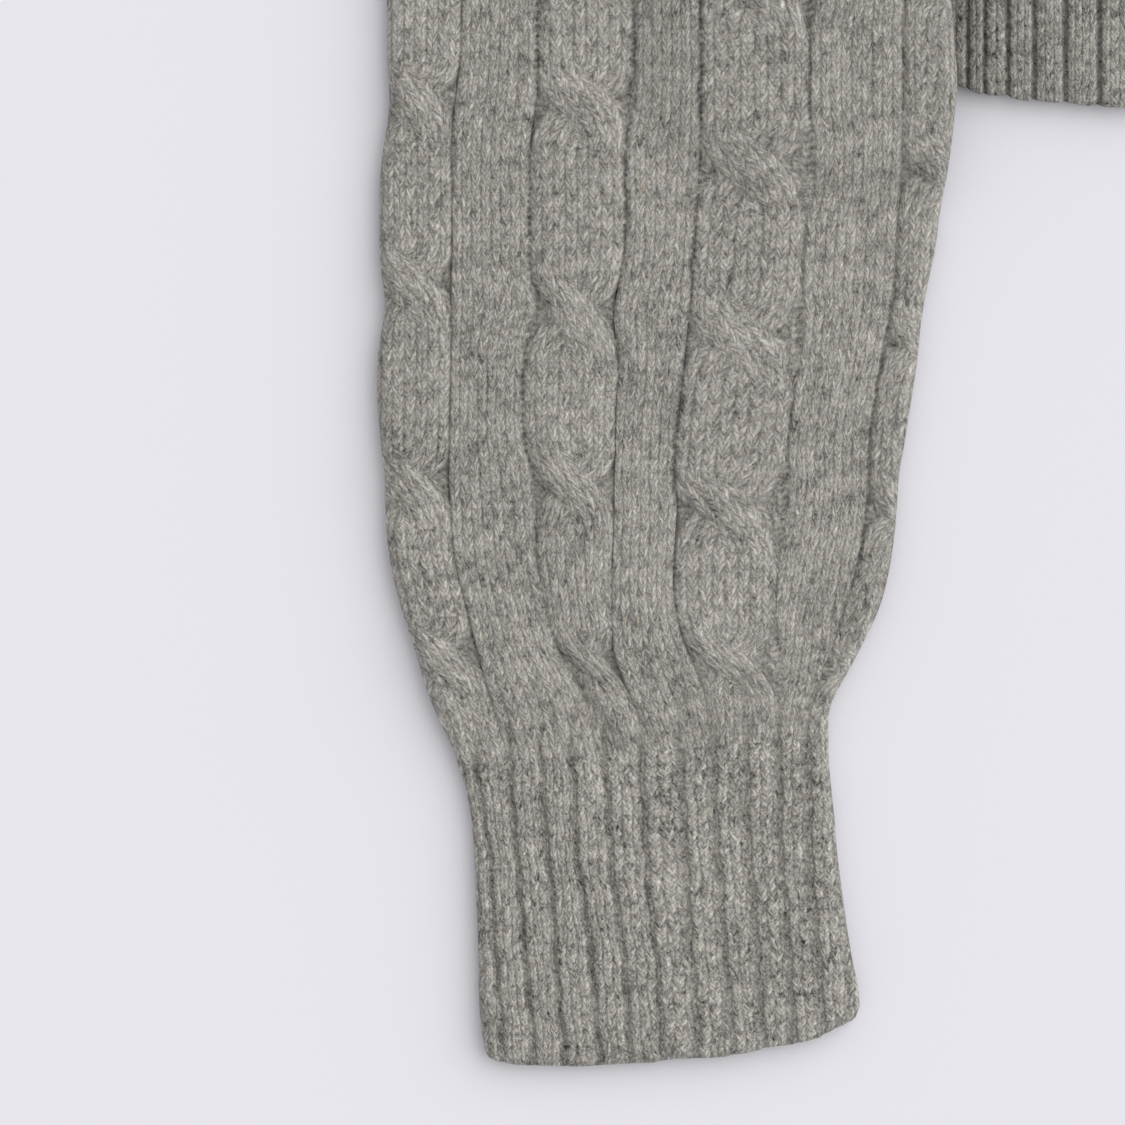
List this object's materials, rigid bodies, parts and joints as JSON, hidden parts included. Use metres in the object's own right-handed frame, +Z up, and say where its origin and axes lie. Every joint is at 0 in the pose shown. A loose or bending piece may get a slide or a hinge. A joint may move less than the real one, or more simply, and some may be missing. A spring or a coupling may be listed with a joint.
{
  "type": "knitted polo shirt",
  "caption": "Long-sleeved cable-knit polo shirt laid flat, with ribbed collar, cuffs and hem, and a buttoned placket.",
  "frame": {"origin": "centre of the underside of the bounding box, on the surface that the shirt lies on", "axes": "+Z up from the surface, the shirt's front facing up; +Y from hem to collar; +X to the wearer's left"},
  "size_m": [0.5788, 0.6848, 0.0132],
  "materials": {
    "cable_knit": "heather grey wool, cables and plain knit",
    "rib_knit": "heather grey wool, ribbed",
    "button": "satin grey-brown button"
  },
  "bodies": {
    "root": {"back_panel": "cable_knit", "front_panel": "cable_knit", "sleeve_right": "cable_knit", "sleeve_left": "cable_knit", "hem_back": "rib_knit", "hem_front": "rib_knit", "cuff_right": "rib_knit", "cuff_left": "rib_knit", "collar": "rib_knit", "placket_under": "rib_knit", "placket_over": "rib_knit", "button_1": "button", "button_2": "button", "button_3": "button"}
  },
  "joints": []
}
